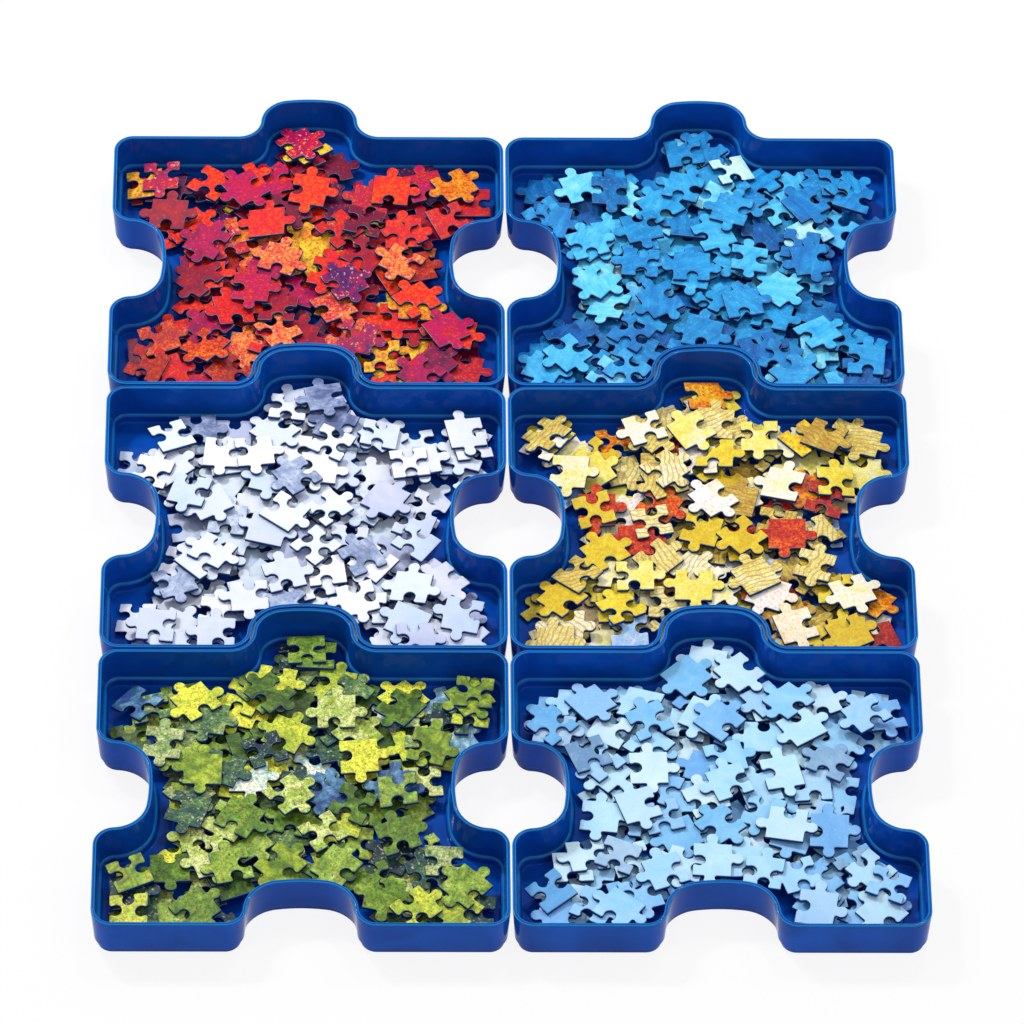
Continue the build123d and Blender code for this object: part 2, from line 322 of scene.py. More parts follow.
@dataclass(frozen=True)
class TrayPlastic:
    """Glossy deep blue plastic of a moulded tray, with a painted highlight mixed into its colour
    along the rim edges and the inner shoulder.
    """

    deep: Colour = srgb(8, 72, 168)
    clear: Colour = srgb(12, 86, 190)
    # painted highlight: pale blue mixed into the plastic where its rim edges and inner shoulder
    # catch the light
    edge: Colour = srgb(44, 162, 216)
    smooth: float = 0.09
    scuffed: float = 0.2
    skin_depth: float = 0.03 * MM
    refraction: float = 1.42
    gloss: float = 0.1

    def material(self, effects: SharedEffects) -> bpy.types.Material:
        """Make the material.

        Args:
            effects: The shared node groups.

        Returns:
            The tray's material.
        """
        material, board, shader = material_board("tray_blue_gloss")
        place = board.add("TexCoord").outputs["Object"]
        marks = board.add("Group", node_tree=effects.moulded)
        board.put(marks.inputs["Place"], place)
        colour = board.ramp(marks.outputs["Flow"], [(0.35, self.deep), (0.65, self.clear)])
        rough = board.remap(marks.outputs["Scuff"], 0.0, 1.0, self.smooth, self.scuffed)
        skin = {"Strength": 0.25, "Distance": self.skin_depth, "Height": marks.outputs["Height"]}
        # painted highlight along the rim edges and the inner shoulder, mixed into the base colour
        edge = board.add("Attribute", attribute_name="painted_edge_highlight").outputs["Fac"]
        board.put(shader.inputs["Base Color"], board.blend(edge, colour, self.edge))
        board.put(shader.inputs["Roughness"], rough)
        board.put(shader.inputs["Normal"], board.add("Bump", skin).outputs[0])
        shader.inputs["IOR"].default_value = self.refraction
        shader.inputs["Specular IOR Level"].default_value = self.gloss
        return material


class Motif(Enum):
    """What is printed over a card's ground colours, by the name of the pattern's output."""

    FLECKS = "Fleck"
    DOTS = "Dot"
    WAVES = "Wave"


@dataclass(frozen=True)
class CardPrint:
    """Printed face of a group of jigsaw pieces, from its darkest colour to its lightest.

    The cut side shows the navy core, dark partly as the board's own colour and partly as painted
    shade, and near its top a pale line that is a painted highlight of the cut edge. It fades in
    over the first pair of heights. The print starts at print_from. Both are pairs of heights, as
    shares of a card's thickness.
    """

    colours: tuple[Colour, ...]
    accent: Colour
    accent_share: float = 0.0
    motif: Motif = Motif.FLECKS
    mottle: float = 0.12
    hue_drift: float = 0.01
    cloud_scale: float = 90.0
    strokes: float = 0.35
    contrast: float = 1.2
    spread: float = 0.8
    varnish: float = 0.42
    raw_board: float = 0.85
    gloss: float = 0.22
    relief: float = 0.03 * MM
    # painted highlight: pale line along the top of each cut side, where the edge catches the light
    painted_side_highlight: Colour = srgb(168, 204, 228)
    painted_side_highlight_from: tuple[float, float] = (0.76, 0.82)
    print_from: tuple[float, float] = (0.90, 0.94)

    def material(self, name: str, effects: SharedEffects) -> bpy.types.Material:
        """Make the material.

        Args:
            name: The material's name.
            effects: The shared node groups.

        Returns:
            The material of the group's printed faces and cut edges.
        """
        material, board, shader = material_board(name)
        place = board.add("Attribute", attribute_name="card_place").outputs["Vector"]
        tint = board.add("Attribute", attribute_name="card_tint").outputs["Fac"]
        height = board.add("Attribute", attribute_name="card_height").outputs["Fac"]
        tone = board.add("Group", node_tree=effects.print_tone)
        values = {
            "Place": place,
            "Tint": tint,
            "Cloud Scale": self.cloud_scale,
            "Stroke Share": self.strokes,
            "Contrast": self.contrast,
            "Spread": self.spread,
        }
        for label, value in values.items():
            board.put(tone.inputs[label], value)
        core = board.add("Group", node_tree=effects.navy_board_and_painted_shade)
        board.put(core.inputs["Place"], board.add("TexCoord").outputs["Object"])
        stops = zip(np.linspace(0.08, 0.92, len(self.colours)).tolist(), self.colours)
        ink = board.ramp(tone.outputs["Tone"], stops)
        light = board.maths("MULTIPLY_ADD", tone.outputs["Mottle"], self.mottle, 1.0)
        hue = board.maths("MULTIPLY_ADD", tone.outputs["Mottle"], self.hue_drift, 0.5)
        ground = board.add("HueSaturation", {"Hue": hue, "Value": light, "Color": ink}).outputs[0]
        accents = board.maths("MULTIPLY", tone.outputs[self.motif.value], self.accent_share)
        picture = board.blend(accents, ground, self.accent)
        # painted highlight along the top of the cut side
        painted_side_highlight = board.remap(height, *self.painted_side_highlight_from, 0.0, 1.0)
        printed = board.remap(height, *self.print_from, 0.0, 1.0)
        # cut side: navy board partly darkened as painted shade, with the painted highlight line on
        # top
        side = board.blend(painted_side_highlight, core.outputs["Colour"], self.painted_side_highlight)
        board.put(shader.inputs["Base Color"], board.blend(printed, side, picture))
        rough = board.remap(printed, 0.0, 1.0, self.raw_board, self.varnish)
        board.put(shader.inputs["Roughness"], rough)
        heights = {0: printed, 2: core.outputs["Height"], 3: tone.outputs["Height"]}
        surface = board.add("Mix", heights).outputs[0]
        relief = {"Strength": 0.3, "Distance": self.relief, "Height": surface}
        board.put(shader.inputs["Normal"], board.add("Bump", relief).outputs[0])
        shader.inputs["Specular IOR Level"].default_value = self.gloss
        return material


CARD_PRINTS: dict[str, CardPrint] = {
    "red_card": CardPrint(
        (srgb(118, 0, 52), srgb(195, 0, 34), srgb(233, 2, 10), srgb(244, 50, 12)),
        accent=srgb(255, 190, 60), accent_share=0.12, mottle=0.2, hue_drift=0.015, contrast=0.9,
        spread=1.0,
    ),
    "crimson_card": CardPrint(
        (srgb(56, 0, 60), srgb(140, 0, 70), srgb(192, 2, 88), srgb(200, 16, 40)),
        accent=srgb(236, 110, 50), accent_share=0.4, mottle=0.35, hue_drift=0.03, contrast=1.4,
        spread=1.0,
    ),
    "orange_card": CardPrint(
        (srgb(176, 20, 16), srgb(220, 70, 14), srgb(238, 140, 22), srgb(248, 204, 40)),
        accent=srgb(170, 10, 50), accent_share=0.5, motif=Motif.DOTS, mottle=0.35, hue_drift=0.02,
        contrast=1.4, spread=1.0,
    ),
    "magenta_card": CardPrint(
        (srgb(80, 6, 96), srgb(166, 2, 80), srgb(214, 14, 50), srgb(246, 120, 60)),
        accent=srgb(252, 226, 190), accent_share=0.55, mottle=0.35, hue_drift=0.03, contrast=1.7,
        spread=1.0,
    ),
    "ocean_blue_card": CardPrint(
        (srgb(8, 94, 166), srgb(20, 137, 208), srgb(40, 168, 233), srgb(92, 206, 253)),
        accent=srgb(150, 240, 255), accent_share=0.2, mottle=0.16, contrast=1.5, strokes=0.6,
        spread=0.7,
    ),
    "deep_blue_card": CardPrint(
        (srgb(4, 62, 129), srgb(8, 99, 179), srgb(20, 131, 207), srgb(46, 172, 237)),
        accent=srgb(90, 207, 253), accent_share=0.2, mottle=0.18, contrast=1.5, strokes=0.6,
        spread=0.7,
    ),
    "bright_blue_card": CardPrint(
        (srgb(24, 130, 205), srgb(50, 172, 235), srgb(86, 205, 253), srgb(146, 235, 255)),
        accent=srgb(200, 255, 255), accent_share=0.2, contrast=1.4, strokes=0.6, spread=0.7,
    ),
    "pale_blue_card": CardPrint(
        (srgb(61, 168, 231), srgb(112, 207, 251), srgb(163, 233, 255), srgb(218, 253, 235)),
        accent=srgb(255, 255, 220), accent_share=0.35, contrast=1.5,
    ),
    "white_card": CardPrint(
        (srgb(214, 224, 248), srgb(228, 236, 252), srgb(241, 244, 254), srgb(253, 254, 255)),
        accent=srgb(204, 218, 246), accent_share=0.15, mottle=0.02, cloud_scale=60, contrast=1.0,
    ),
    "ice_white_card": CardPrint(
        (srgb(188, 212, 244), srgb(208, 226, 249), srgb(226, 238, 253), srgb(244, 249, 255)),
        accent=srgb(180, 206, 240), accent_share=0.15, mottle=0.03, cloud_scale=60, contrast=1.0,
    ),
    "lavender_white_card": CardPrint(
        (srgb(188, 196, 232), srgb(208, 214, 243), srgb(226, 230, 250), srgb(240, 243, 254)),
        accent=srgb(186, 194, 232), accent_share=0.15, mottle=0.03, cloud_scale=60,
    ),
    "grey_white_card": CardPrint(
        (srgb(96, 110, 156), srgb(160, 176, 212), srgb(208, 220, 243), srgb(240, 246, 254)),
        accent=srgb(80, 96, 150), accent_share=0.5, mottle=0.15, cloud_scale=110, contrast=1.8,
    ),
    "yellow_card": CardPrint(
        (srgb(222, 185, 36), srgb(240, 216, 60), srgb(248, 234, 120), srgb(252, 245, 227)),
        accent=srgb(206, 142, 48), accent_share=0.2, spread=1.0,
    ),
    "gold_card": CardPrint(
        (srgb(194, 153, 60), srgb(220, 192, 88), srgb(239, 219, 132), srgb(251, 242, 203)),
        accent=srgb(153, 101, 48), accent_share=0.45, motif=Motif.WAVES, mottle=0.25,
        hue_drift=0.02, contrast=1.3,
    ),
    "cream_card": CardPrint(
        (srgb(249, 212, 140), srgb(251, 239, 212), srgb(249, 251, 255), srgb(153, 206, 248)),
        accent=srgb(231, 113, 97), accent_share=0.3, motif=Motif.DOTS, hue_drift=0.02,
        contrast=1.1, spread=1.0,
    ),
    "olive_green_card": CardPrint(
        (srgb(57, 84, 29), srgb(108, 139, 42), srgb(167, 189, 68), srgb(224, 228, 146)),
        accent=srgb(20, 41, 34), accent_share=0.7, mottle=0.6, hue_drift=0.05, cloud_scale=110,
        contrast=1.7,
    ),
    "dark_green_card": CardPrint(
        (srgb(18, 41, 62), srgb(51, 90, 68), srgb(106, 138, 73), srgb(184, 193, 125)),
        accent=srgb(244, 246, 195), accent_share=0.55, mottle=0.7, hue_drift=0.06, cloud_scale=120,
        contrast=2.0,
    ),
    "yellow_green_card": CardPrint(
        (srgb(100, 128, 39), srgb(173, 191, 57), srgb(235, 235, 73), srgb(255, 253, 78)),
        accent=srgb(56, 90, 44), accent_share=0.6, mottle=0.45, hue_drift=0.05, cloud_scale=110,
        contrast=1.7,
    ),
    "slate_green_card": CardPrint(
        (srgb(33, 74, 126), srgb(92, 148, 184), srgb(165, 208, 202), srgb(251, 253, 225)),
        accent=srgb(44, 45, 80), accent_share=0.5, mottle=0.5, hue_drift=0.06, cloud_scale=130,
        contrast=2.1,
    ),
    "sky_blue_card": CardPrint(
        (srgb(112, 179, 242), srgb(142, 203, 255), srgb(167, 220, 255), srgb(201, 240, 255)),
        accent=srgb(225, 253, 255), accent_share=0.15, mottle=0.03, cloud_scale=45, contrast=0.9,
    ),
    "pale_sky_card": CardPrint(
        (srgb(145, 199, 246), srgb(172, 218, 255), srgb(197, 233, 255), srgb(223, 248, 255)),
        accent=srgb(237, 255, 255), accent_share=0.15, mottle=0.03, cloud_scale=45, contrast=0.9,
    ),
    "clear_blue_card": CardPrint(
        (srgb(91, 166, 227), srgb(123, 194, 244), srgb(153, 214, 255), srgb(188, 233, 255)),
        accent=srgb(212, 246, 255), accent_share=0.15, mottle=0.04, cloud_scale=55, contrast=1.0,
    ),
    "grey_blue_card": CardPrint(
        (srgb(108, 153, 197), srgb(145, 186, 222), srgb(177, 212, 242), srgb(212, 235, 255)),
        accent=srgb(233, 248, 255), accent_share=0.15, mottle=0.05, cloud_scale=70, contrast=1.1,
    ),
}


# Meshes


def mesh_object(
    name: str, points: np.ndarray, faces: list[Any], smooth: bool = True
) -> bpy.types.Object:
    """Make an object from points and faces, with its place in its mesh.

    Args:
        name: The object's name.
        points: An array of n points by 3.
        faces: Lists or arrays of point numbers.
        smooth: Whether the four-sided faces are shaded smooth. The others are flat.

    Returns:
        The object, linked to the scene.
    """
    mesh = bpy.data.meshes.new(name)
    mesh.from_pydata(points.tolist(), [], [list(map(int, face)) for face in faces])
    sides = np.empty(len(mesh.polygons), np.int32)
    mesh.polygons.foreach_get("loop_total", sides)
    mesh.polygons.foreach_set("use_smooth", smooth & (sides == 4))
    mesh.update()
    piece = bpy.data.objects.new(name, mesh)
    bpy.context.scene.collection.objects.link(piece)
    return piece


def put_attribute(piece: bpy.types.Object, name: str, kind: str, values: np.ndarray) -> None:
    """Store a value for each point of a piece, as a float or a vector."""
    attribute = piece.data.attributes.new(name, kind, "POINT")
    field = "value" if kind == "FLOAT" else "vector"
    attribute.data.foreach_set(field, np.ascontiguousarray(values, dtype=np.float32).ravel())


def band_faces(rings: int, count: int) -> np.ndarray:
    """Four-sided faces between closed rings of points, numbered ring by ring.

    Face (i, j) joins points j and j + 1 of ring i to the same points of ring i + 1, and the last
    point of a ring is followed by its first.
    """
    ring, step = np.meshgrid(np.arange(rings - 1), np.arange(count), indexing="ij")
    ahead = (step + 1) % count
    low = ring * count
    high = low + count
    return np.stack([low + step, low + ahead, high + ahead, high + step], axis=-1).reshape(-1, 4)


def rounded_line(corners: list[tuple[float, float, float]], steps: int) -> np.ndarray:
    """A line through corners of (x, y, radius), with each corner turned into an arc.

    The arc of a corner starts and ends at its radius times the tangent of half the turn before and
    after the corner, and its points divide the turn evenly.

    Args:
        corners: Corner points with the radius of each one. The first and last are end points.
        steps: How many pieces each arc is divided into.

    Returns:
        The points of the rounded line.
    """
    line = [np.array(corners[0][:2])]
    for before, (x, y, radius), after in zip(corners, corners[1:-1], corners[2:]):
        corner = np.array([x, y])
        back = np.array(before[:2]) - corner
        ahead = np.array(after[:2]) - corner
        back /= np.linalg.norm(back)
        ahead /= np.linalg.norm(ahead)
        half = math.acos(max(-1.0, min(1.0, float(back @ ahead)))) / 2
        middle = (back + ahead) / np.linalg.norm(back + ahead)
        centre = corner + middle * radius / math.sin(half)
        start = corner + back * radius / math.tan(half) - centre
        end = corner + ahead * radius / math.tan(half) - centre
        sweep = math.pi - 2 * half
        shares = np.linspace(0, 1, steps + 1)[:, None]
        arc = np.sin((1 - shares) * sweep) * start + np.sin(shares * sweep) * end
        line += list(centre + arc / math.sin(sweep))
    line.append(np.array(corners[-1][:2]))
    return np.array(line)


def with_guards(line: np.ndarray, guard: float) -> np.ndarray:
    """Add a point close to each end of every long straight of a line.

    A value that is given at the points and fades out near a corner then stays there, and isn't
    spread along the straight.

    Args:
        line: The points of an open line.
        guard: How far from a straight's end each new point lies, in metres.

    Returns:
        The line with the new points.
    """
    points = [line[0]]
    for start, end in zip(line, line[1:]):
        length = np.linalg.norm(end - start)
        if length > LONG_STRAIGHT * guard:
            step = (end - start) * guard / length
            points += [start + step, end - step]
        points.append(end)
    return np.array(points)


# Trays


class Bulge(Enum):
    """Which way the knob on an edge of a tray goes."""

    TAB = 1
    SOCKET = -1


@dataclass(frozen=True)
class Arc:
    """One arc of a tray's outline, seen from above.

    It starts and ends at angles from +X, and runs anticlockwise where its sweep is positive. Side
    is 1 where the tray lies inside the arc, and -1 where it lies outside.
    """

    centre: tuple[float, float] | np.ndarray
    radius: float
    start: float
    sweep: float
    side: int

    def placed(self, angle: float, origin: tuple[float, float]) -> "Arc":
        """The same arc turned by an angle about (0, 0), and then moved by an origin."""
        cosine, sine = math.cos(angle), math.sin(angle)
        centre = np.array([[cosine, -sine], [sine, cosine]]) @ self.centre + origin
        return Arc(centre, self.radius, self.start + angle, self.sweep, self.side)

    def run(self, step: float) -> tuple[np.ndarray, np.ndarray]:
        """Divide the arc evenly.

        Args:
            step: The angle from point to point, halved on the flattest arcs.

        Returns:
            Points, and the normal at each one that points into the tray, each n by 2.
        """
        finer = 2 if self.radius > FLAT_ARC else 1
        count = max(3, math.ceil(abs(self.sweep) / step * finer))
        angles = self.start + np.linspace(0, self.sweep, count + 1)
        outward = np.column_stack([np.cos(angles), np.sin(angles)])
        return self.centre + self.radius * outward, -self.side * outward


@dataclass(frozen=True)
class TrayShape:
    """Sizes of a tray in metres, measured at its rim unless said otherwise.

    Lit edges are the rim edges and the inner shoulder, where a painted highlight is mixed into the
    plastic's colour: each one's inset and height in millimetres, how pale the painted highlight
    is, and how many millimetres it reaches.
    """

    width: float = 200 * MM
    depth: float = 170 * MM
    height: float = 25 * MM
    corner_radius: float = 10 * MM
    tab_reach: float = 26.2 * MM
    tab_half_width: float = 24.8 * MM
    shoulder_radius: float = 15.5 * MM
    crown_radius: float = 80 * MM
    root_radius: float = 11.5 * MM
    gap: float = 0.9 * MM
    rim_wall: float = 1.9 * MM
    wall: float = 1.8 * MM
    floor: float = 1.8 * MM
    draft: float = 1.2 * MM
    foot_height: float = 4 * MM
    foot_inset: float = 2.8 * MM
    foot_draft: float = 0.3 * MM
    step_rise: float = 0.8 * MM
    cap_inset: float = 8.5 * MM
    floor_fillet: float = 0.9 * MM
    inner_step_rounding: tuple[float, float] = (0.35 * MM, 0.45 * MM)
    rim_rounding: float = 0.8 * MM
    outer_step_rounding: tuple[float, float] = (0.5 * MM, 0.3 * MM)
    base_rounding: float = 0.6 * MM
    rounding_steps: int = 6
    guard: float = 0.6 * MM
    arc_step: float = math.radians(5)
    # where the painted highlight goes: inset and height in millimetres, paleness, reach in
    # millimetres
    painted_highlight_edges: tuple[tuple[float, float, float, float], ...] = (
        (0.22, 24.78, 1.0, 0.5),
        (1.68, 24.78, 0.8, 0.5),
        (3.0, 6.2, 0.75, 0.8),
    )

    def knob(self, bulge: Bulge) -> list[Arc]:
        """Arcs of a knob on an edge along +X, with the tray on its +Y side.

        A tab has a flat crown between two shoulders, and a hollow root on either side. A socket is
        a tab turned inwards and grown by the gap.

        Args:
            bulge: Whether the knob is a tab or a socket.

        Returns:
            The five arcs, in the order in which the outline follows them.
        """
        shoulder_x = self.tab_half_width - self.shoulder_radius
        crown_y = self.tab_reach - self.crown_radius
        fall = self.crown_radius - self.shoulder_radius
        shoulder_y = crown_y + math.sqrt(fall**2 - shoulder_x**2)
        rise = self.root_radius - shoulder_y
        root_x = shoulder_x + math.sqrt((self.shoulder_radius + self.root_radius) ** 2 - rise**2)
        lean = math.atan2(rise, root_x - shoulder_x)
        half = math.atan2(shoulder_x, shoulder_y - crown_y)
        turn = RIGHT_ANGLE - lean - half
        grow = self.gap if bulge is Bulge.SOCKET else 0.0
        side = bulge.value
        sign = -side
        root = self.root_radius - grow
        shoulder = self.shoulder_radius + grow
        crown = self.crown_radius + grow
        root_y = sign * root
        high_y = sign * (shoulder_y - grow)
        bend = sign * (RIGHT_ANGLE - lean)
        crest = sign * (RIGHT_ANGLE + half)
        fore = sign * (RIGHT_ANGLE - half)
        return [
            Arc((-root_x, root_y), root, -sign * RIGHT_ANGLE, bend, -side),
            Arc((-shoulder_x, high_y), shoulder, math.pi - sign * lean, -sign * turn, side),
            Arc((0.0, sign * (crown_y - grow)), crown, crest, -sign * 2 * half, side),
            Arc((shoulder_x, high_y), shoulder, fore, -sign * turn, side),
            Arc((root_x, root_y), root, math.pi + sign * lean, bend, -side),
        ]

    def outline(self) -> tuple[np.ndarray, np.ndarray]:
        """The rim outline, anticlockwise from above.

        Each arc is a run of points at its centre plus its radius times a direction, and the inward
        normal is that direction or its opposite. A surface inset from the rim by any amount is the
        outline plus that amount times the normals.

        Returns:
            Points and inward normals, each n by 2.
        """
        half_width = self.width / 2
        half_depth = self.depth / 2
        reach_x = half_width - self.corner_radius
        reach_y = half_depth - self.corner_radius
        sides = [
            ((0, -half_depth), Bulge.SOCKET, (reach_x, -reach_y)),
            ((half_width, 0), Bulge.SOCKET, (reach_x, reach_y)),
            ((0, half_depth), Bulge.TAB, (-reach_x, reach_y)),
            ((-half_width, 0), Bulge.SOCKET, (-reach_x, -reach_y)),
        ]
        arcs = []
        for quarter, (origin, bulge, corner) in enumerate(sides):
            angle = quarter * RIGHT_ANGLE
            arcs += [arc.placed(angle, origin) for arc in self.knob(bulge)]
            arcs.append(Arc(corner, self.corner_radius, angle - RIGHT_ANGLE, RIGHT_ANGLE, 1))
        points, normals = (
            np.concatenate(part) for part in zip(*(arc.run(self.arc_step) for arc in arcs))
        )
        apart = np.linalg.norm(np.roll(points, -1, axis=0) - points, axis=1) > SAME_POINT
        return points[apart], normals[apart]

    def wall_profile(self) -> np.ndarray:
        """The wall's section, from the floor over the rim to the foot.

        It is a rounded line through corners of (inset, height, rounding).

        Returns:
            Points of (inset, height).
        """
        inner_foot = self.foot_inset + self.wall
        inner_step = self.foot_height + self.floor - self.step_rise / 2
        inner_low, inner_high = self.inner_step_rounding
        outer_high, outer_low = self.outer_step_rounding
        corners = [
            (self.cap_inset, self.floor, 0.0),
            (inner_foot, self.floor, self.floor_fillet),
            (inner_foot - self.foot_draft, inner_step, inner_low),
            (self.draft + self.wall, inner_step + self.step_rise, inner_high),
            (self.rim_wall, self.height, self.rim_rounding),
            (0.0, self.height, self.rim_rounding),
            (self.draft, self.foot_height + self.step_rise, outer_high),
            (self.foot_inset - self.foot_draft, self.foot_height, outer_low),
            (self.foot_inset, 0.0, self.base_rounding),
            (self.cap_inset, 0.0, 0.0),
        ]
        return with_guards(rounded_line(corners, self.rounding_steps), self.guard)

    def painted_edge_highlight(self, profile: np.ndarray) -> np.ndarray:
        """How strongly the painted highlight pales each section point: 1 minus its distance from a
        lit edge over the reach.

        Args:
            profile: The wall's section.

        Returns:
            A share from 0 to 1 for each section point.
        """
        inset, height, share, reach = np.array(self.painted_highlight_edges).T
        apart = profile[:, None] / MM - np.column_stack([inset, height])
        distance = np.linalg.norm(apart, axis=-1)
        return (np.clip(1 - distance / reach, 0, 1) * share).max(axis=1)


@dataclass
class SortingTray:
    """One moulded tray."""

    body: str
    node: str
    shape: TrayShape = TrayShape()

    def build(self, material: bpy.types.Material) -> bpy.types.Object:
        """Carry the wall's section round the outline and close the floor and the underside.

        Point (i, j) is outline point j moved inwards by the inset of section point i, at that
        section point's height.

        Args:
            material: The tray's plastic.

        Returns:
            The tray.
        """
        outline, normals = self.shape.outline()
        profile = self.shape.wall_profile()
        low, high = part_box(self.node)
        centre = np.array([(low.x + high.x) / 2, (low.y + high.y - self.shape.tab_reach) / 2])
        flat = outline[None] + profile[:, None, :1] * normals[None] + centre
        heights = np.broadcast_to(profile[:, None, 1:], (*flat.shape[:2], 1))
        points = np.concatenate([flat, heights], axis=-1).reshape(-1, 3)
        count = len(outline)
        bands = band_faces(len(profile), count)[:, ::-1]
        floor = np.arange(count)
        underside = np.arange(count)[::-1] + (len(profile) - 1) * count
        piece = mesh_object(self.node + "_shell", points, [*bands, floor, underside])
        # painted highlight of the rim edges and the inner shoulder, stored for the plastic's
        # colour
        light = np.repeat(self.shape.painted_edge_highlight(profile), count)
        put_attribute(piece, "painted_edge_highlight", "FLOAT", light)
        piece.data.materials.append(material)
        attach(piece, self.body)
        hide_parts(self.node)
        return piece


# Loose pieces


@dataclass
class LoosePieces:
    """The loose jigsaw pieces of one colour in one tray."""

    body: str
    node: str
    slot: str
    card: float = 1.9 * MM
    spacing: float = 1.0 * MM

    @staticmethod
    def welded(mesh: bpy.types.Mesh) -> tuple[np.ndarray, np.ndarray]:
        """A mesh's points, merged where they meet, and its triangles as numbers of them."""
        places = np.empty(len(mesh.vertices) * 3, np.float32)
        mesh.vertices.foreach_get("co", places)
        mesh.calc_loop_triangles()
        corners = np.empty(len(mesh.loop_triangles) * 3, np.int64)
        mesh.loop_triangles.foreach_get("vertices", corners)
        places = places.reshape(-1, 3).astype(float)
        cells = np.round(places / WELD).astype(np.int64)
        _, first, merged = np.unique(cells, axis=0, return_index=True, return_inverse=True)
        return places[first], merged.ravel()[corners].reshape(-1, 3)

    @staticmethod
    def in_loop_order(following: np.ndarray, members: np.ndarray) -> tuple[np.ndarray, np.ndarray]:
        """Put the points of closed loops in order, for all loops at once.

        A walk whose steps double each time finds the lowest point of each loop, and then how many
        steps each point is away from the one before the lowest.

        Args:
            following: For each point, the number of the next one.
            members: The points that lie on loops.

        Returns:
            The members in order, loop by loop, and the number of each one's loop.
        """
        lowest = np.arange(len(following))
        jump = following.copy()
        for _ in range(DOUBLINGS):
            lowest = np.minimum(lowest, lowest[jump])
            jump = jump[jump]
        last = members[following[members] == lowest[members]]
        jump = following.copy()
        jump[last] = last
        steps = np.ones(len(following), np.int64)
        steps[last] = 0
        for _ in range(DOUBLINGS):
            steps = steps + steps[jump]
            jump = jump[jump]
        order = members[np.lexsort((-steps[members], lowest[members]))]
        _, loops = np.unique(lowest[order], return_inverse=True)
        return order, loops

    def faces_up(self, source: bpy.types.Object) -> tuple[np.ndarray, np.ndarray]:
        """Outlines of the upper faces of all pieces in a node of the model.

        A directed edge of an upward triangle whose opposite isn't there is on an outline.

        Args:
            source: The node's object.

        Returns:
            The outline points in order, and the number of each one's loop.
        """
        points, triangles = self.welded(source.data)
        first, second, third = (points[triangles[:, corner]] for corner in range(3))
        cross = np.cross(second - first, third - first)
        up = triangles[cross[:, 2] > UPRIGHT * np.linalg.norm(cross, axis=1)]
        start = up.ravel()
        end = np.roll(up, -1, axis=1).ravel()
        total = len(points)
        rim = ~np.isin(start * total + end, end * total + start)
        following = np.arange(total)
        following[start[rim]] = end[rim]
        order, loops = self.in_loop_order(following, np.unique(start[rim]))
        return points[order], loops

    def evened(self, loop: np.ndarray) -> np.ndarray:
        """Thin out the points of the round stretches of an outline, and keep its corners.

        A point stays where the line turns sharply or its neighbours are far off, and of the others
        those stay at which the length run so far passes another whole spacing.
        """
        back = loop - np.roll(loop, 1, axis=0)
        ahead = np.roll(loop, -1, axis=0) - loop
        length_back = np.linalg.norm(back, axis=1)
        length_ahead = np.linalg.norm(ahead, axis=1)
        turn = (back * ahead).sum(axis=1) / (length_back * length_ahead)
        run = np.floor(np.cumsum(length_back) / self.spacing)
        passes = run != np.roll(run, 1)
        far = np.maximum(length_back, length_ahead) > 2 * self.spacing
        return loop[passes | (turn < SHARP_TURN) | far]

    @staticmethod
    def lie(loop: np.ndarray) -> tuple[np.ndarray, np.ndarray]:
        """A card's upward normal, and the direction from each outline point to the next."""
        ahead = np.roll(loop, -1, axis=0) - loop
        normal = np.cross(loop - loop.mean(axis=0), ahead).sum(axis=0)
        return normal / np.linalg.norm(normal), ahead / np.linalg.norm(ahead, axis=1)[:, None]

    def stack(self, loop: np.ndarray, normal: np.ndarray, ahead: np.ndarray) -> np.ndarray:
        """Rings round a card.

        A ring is the outline of the printed face, moved inwards at each point along the mitre of
        the two edges that meet there by the ring's inset, and down the normal by the card's
        thickness less the ring's height.

        Args:
            loop: The outline of the printed face.
            normal: The card's upward normal.
            ahead: The direction from each outline point to the next.

        Returns:
            The rings' points, ring by ring, n by 3.
        """
        inward = np.cross(normal, ahead)
        mitre = inward + np.roll(inward, 1, axis=0)
        mitre /= np.maximum((mitre * inward).sum(axis=1), SHARPEST_MITRE)[:, None]
        inset, height = CARD_RINGS.T[:, :, None, None]
        return (loop + inset * mitre + (height - self.card) * normal).reshape(-1, 3)

    @staticmethod
    def printed_place(
        local: np.ndarray, along: np.ndarray, normal: np.ndarray, random: np.random.Generator
    ) -> np.ndarray:
        """Where each point of a card lies in the print: turned at random and moved at random.

        Args:
            local: The card's points from its middle.
            along: A direction in the card's plane.
            normal: The card's upward normal.
            random: Gives each card its own part of the print.

        Returns:
            Places in the print, n by 3.
        """
        x = local @ along
        y = local @ np.cross(normal, along)
        spin = random.uniform(0, 2 * math.pi)
        cosine, sine = math.cos(spin), math.sin(spin)
        turned = np.column_stack([x * cosine - y * sine, x * sine + y * cosine, 0 * x])
        return turned + random.uniform(-PRINT_REACH, PRINT_REACH, 3)

